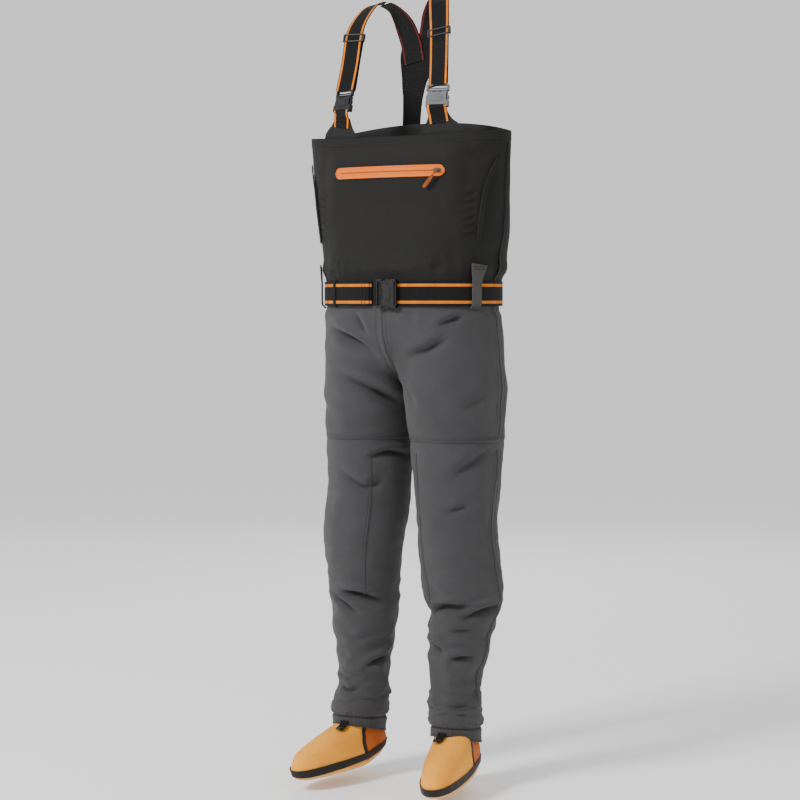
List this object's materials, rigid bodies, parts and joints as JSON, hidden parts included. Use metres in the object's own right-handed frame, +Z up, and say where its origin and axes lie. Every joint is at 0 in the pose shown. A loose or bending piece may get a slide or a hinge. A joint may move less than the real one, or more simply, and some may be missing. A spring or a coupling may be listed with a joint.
{
  "type": "chest waders",
  "caption": "Stockingfoot chest waders: zipped bib on striped buckle suspenders, waist belt, grey legs, gravel guards and neoprene socks.",
  "frame": {"origin": "where the shoulder straps hang, midway between the two strap tops, 1.494 m above the soles", "axes": "+Z up, -Y the wearer's front, +X the wearer's left"},
  "size_m": [0.429, 0.333, 1.4951],
  "materials": {
    "bib_fabric": "matte coated nylon, fine plain weave",
    "leg_fabric": "matte brushed nylon, fine plain weave",
    "webbing_black": "ribbed polyester webbing",
    "webbing_striped": "black ribbed webbing with two orange edge stripes",
    "buckle_black": "moulded acetal, satin",
    "zip_orange": "welded film over a coil zip, satin",
    "puller_rust": "moulded grip on a cord",
    "loop_grey": "flat webbing",
    "neoprene_orange": "knit-faced neoprene",
    "neoprene_rust": "knit-faced neoprene",
    "lining_dark": "thin coated nylon"
  },
  "bodies": {
    "torso": {"belt_buckle_female": "buckle_black", "belt_loop_back": "loop_grey", "belt_loop_left": "loop_grey", "belt_loop_right": "loop_grey", "belt_tail": "webbing_striped", "belt_webbing_adjust": "webbing_striped", "belt_webbing_main": "webbing_striped", "chest_back_panel": "bib_fabric", "chest_front_panel": "bib_fabric", "chest_pocket_bag": "lining_dark", "chest_zip_band": "zip_orange", "hip_back_left": "leg_fabric", "hip_back_right": "leg_fabric", "hip_front_left": "leg_fabric", "hip_front_right": "leg_fabric", "pocket_welt_left": "bib_fabric", "pocket_welt_right": "bib_fabric", "strap_front_left": "webbing_striped", "strap_front_right": "webbing_striped", "strap_left_buckle_female": "buckle_black", "strap_rear_left": "webbing_black", "strap_rear_right": "webbing_black", "strap_right_buckle_female": "buckle_black", "strap_tab_left": "webbing_black", "strap_tab_right": "webbing_black", "yoke_stem": "webbing_black"},
    "thigh_left": {"thigh_front_left": "leg_fabric", "thigh_back_left": "leg_fabric", "knee_sleeve_left": "leg_fabric"},
    "shin_left": {"shin_front_left": "leg_fabric", "shin_back_left": "leg_fabric", "gravel_guard_left": "leg_fabric"},
    "foot_left": {"sock_vamp_left": "neoprene_orange", "sock_heel_left": "neoprene_rust", "sock_sole_left": "neoprene_orange"},
    "lace_hook_left": {"lace_hook_left": "webbing_black"},
    "strap_adjuster_left": {"strap_adjuster_left": "buckle_black"},
    "thigh_right": {"thigh_front_right": "leg_fabric", "thigh_back_right": "leg_fabric", "knee_sleeve_right": "leg_fabric"},
    "shin_right": {"shin_front_right": "leg_fabric", "shin_back_right": "leg_fabric", "gravel_guard_right": "leg_fabric"},
    "foot_right": {"sock_vamp_right": "neoprene_orange", "sock_heel_right": "neoprene_rust", "sock_sole_right": "neoprene_orange"},
    "lace_hook_right": {"lace_hook_right": "webbing_black"},
    "strap_adjuster_right": {"strap_adjuster_right": "buckle_black"},
    "belt_buckle_male": {"belt_buckle_male": "buckle_black"},
    "belt_prong_a": {"belt_buckle_prong_a": "buckle_black"},
    "belt_prong_b": {"belt_buckle_prong_b": "buckle_black"},
    "strap_left_buckle_male": {"strap_left_buckle_male": "buckle_black"},
    "strap_left_prong_a": {"strap_left_buckle_prong_a": "buckle_black"},
    "strap_left_prong_b": {"strap_left_buckle_prong_b": "buckle_black"},
    "strap_right_buckle_male": {"strap_right_buckle_male": "buckle_black"},
    "strap_right_prong_a": {"strap_right_buckle_prong_a": "buckle_black"},
    "strap_right_prong_b": {"strap_right_buckle_prong_b": "buckle_black"},
    "zip_slider": {"zip_slider": "buckle_black"},
    "zip_puller": {"zip_puller": "puller_rust"}
  },
  "joints": [
    {"name": "hip_left", "type": "hinge", "parent": "torso", "child": "thigh_left", "pos_m": [0.0975, 0, -0.664], "axis": [-1, 0, 0], "range_deg": [-10, 38], "deforming": ["hip_front_left", "hip_back_left"]},
    {"name": "knee_left", "type": "hinge", "parent": "thigh_left", "child": "shin_left", "pos_m": [0.1045, 0.003, -1.019], "axis": [1, 0, 0], "range_deg": [0, 60], "deforming": ["knee_sleeve_left"]},
    {"name": "ankle_left", "type": "hinge", "parent": "shin_left", "child": "foot_left", "pos_m": [0.109, -0.012, -1.396], "axis": [0.9816, 0.1908, 0], "range_deg": [-3, 20], "deforming": ["gravel_guard_left"]},
    {"name": "lace_hook_left_flip", "type": "hinge", "parent": "shin_left", "child": "lace_hook_left", "pos_m": [0.109, -0.0666, -1.405], "axis": [-1, 0, 0], "range_deg": [0, 95]},
    {"name": "strap_adjuster_left_slide", "type": "slide", "parent": "torso", "child": "strap_adjuster_left", "axis": [-0.1785, 0.3422, 0.9225], "range_m": [-0.03, 0]},
    {"name": "hip_right", "type": "hinge", "parent": "torso", "child": "thigh_right", "pos_m": [-0.0975, 0, -0.664], "axis": [-1, 0, 0], "range_deg": [-10, 38], "deforming": ["hip_front_right", "hip_back_right"]},
    {"name": "knee_right", "type": "hinge", "parent": "thigh_right", "child": "shin_right", "pos_m": [-0.1045, 0.003, -1.019], "axis": [1, 0, 0], "range_deg": [0, 60], "deforming": ["knee_sleeve_right"]},
    {"name": "ankle_right", "type": "hinge", "parent": "shin_right", "child": "foot_right", "pos_m": [-0.109, -0.012, -1.396], "axis": [0.9848, -0.1736, 0], "range_deg": [-3, 20], "deforming": ["gravel_guard_right"]},
    {"name": "lace_hook_right_flip", "type": "hinge", "parent": "shin_right", "child": "lace_hook_right", "pos_m": [-0.109, -0.0666, -1.405], "axis": [-1, 0, 0], "range_deg": [0, 95]},
    {"name": "strap_adjuster_right_slide", "type": "slide", "parent": "torso", "child": "strap_adjuster_right", "axis": [0.0392, 0.235, 0.9712], "range_m": [-0.03, 0]},
    {"name": "strap_left_release", "type": "slide", "parent": "torso", "child": "strap_left_buckle_male", "axis": [-0.0514, 0.2142, 0.9754], "range_m": [0, 0.024], "deforming": ["strap_front_left"]},
    {"name": "strap_left_prong_a_squeeze", "type": "hinge", "parent": "strap_left_buckle_male", "child": "strap_left_prong_a", "pos_m": [0.11779, -0.07095, -0.18829], "axis": [-0.2276, 0.9485, -0.2203], "range_deg": [0, 8], "stiffness_Nm_per_rad": 0.05},
    {"name": "strap_left_prong_b_squeeze", "type": "hinge", "parent": "strap_left_buckle_male", "child": "strap_left_prong_b", "pos_m": [0.08764, -0.07818, -0.18829], "axis": [0.2276, -0.9485, 0.2203], "range_deg": [0, 8], "stiffness_Nm_per_rad": 0.05},
    {"name": "strap_right_release", "type": "slide", "parent": "torso", "child": "strap_right_buckle_male", "axis": [0.0514, 0.2142, 0.9754], "range_m": [0, 0.024], "deforming": ["strap_front_right"]},
    {"name": "strap_right_prong_a_squeeze", "type": "hinge", "parent": "strap_right_buckle_male", "child": "strap_right_prong_a", "pos_m": [-0.08764, -0.07818, -0.18829], "axis": [0.2276, 0.9485, -0.2203], "range_deg": [0, 8], "stiffness_Nm_per_rad": 0.05},
    {"name": "strap_right_prong_b_squeeze", "type": "hinge", "parent": "strap_right_buckle_male", "child": "strap_right_prong_b", "pos_m": [-0.11779, -0.07095, -0.18829], "axis": [-0.2276, -0.9485, 0.2203], "range_deg": [0, 8], "stiffness_Nm_per_rad": 0.05},
    {"name": "belt_release", "type": "slide", "parent": "torso", "child": "belt_buckle_male", "axis": [-0.9998, -0.02, 0], "range_m": [0, 0.024], "deforming": ["belt_webbing_adjust", "belt_tail"]},
    {"name": "belt_prong_a_squeeze", "type": "hinge", "parent": "belt_buckle_male", "child": "belt_prong_a", "pos_m": [0.01164, -0.12438, -0.5465], "axis": [-0.02, 0.9998, 0], "range_deg": [0, 8], "stiffness_Nm_per_rad": 0.05},
    {"name": "belt_prong_b_squeeze", "type": "hinge", "parent": "belt_buckle_male", "child": "belt_prong_b", "pos_m": [0.01164, -0.12438, -0.5875], "axis": [0.02, -0.9998, 0], "range_deg": [0, 8], "stiffness_Nm_per_rad": 0.05},
    {"name": "chest_zip_run", "type": "hinge", "parent": "torso", "child": "zip_slider", "pos_m": [0.004, 0.5015, -0.336], "axis": [0, 0, 1], "range_deg": [-20.3, 0]},
    {"name": "zip_puller_flip", "type": "hinge", "parent": "zip_slider", "child": "zip_puller", "pos_m": [0.11271, -0.09589, -0.335], "axis": [-0.9838, -0.179, 0], "range_deg": [0, 140]}
  ],
  "couplings": [
    {"joint": "strap_left_prong_b_squeeze", "follows": "strap_left_prong_a_squeeze", "ratio": 1},
    {"joint": "strap_right_prong_b_squeeze", "follows": "strap_right_prong_a_squeeze", "ratio": 1},
    {"joint": "belt_prong_b_squeeze", "follows": "belt_prong_a_squeeze", "ratio": 1}
  ]
}
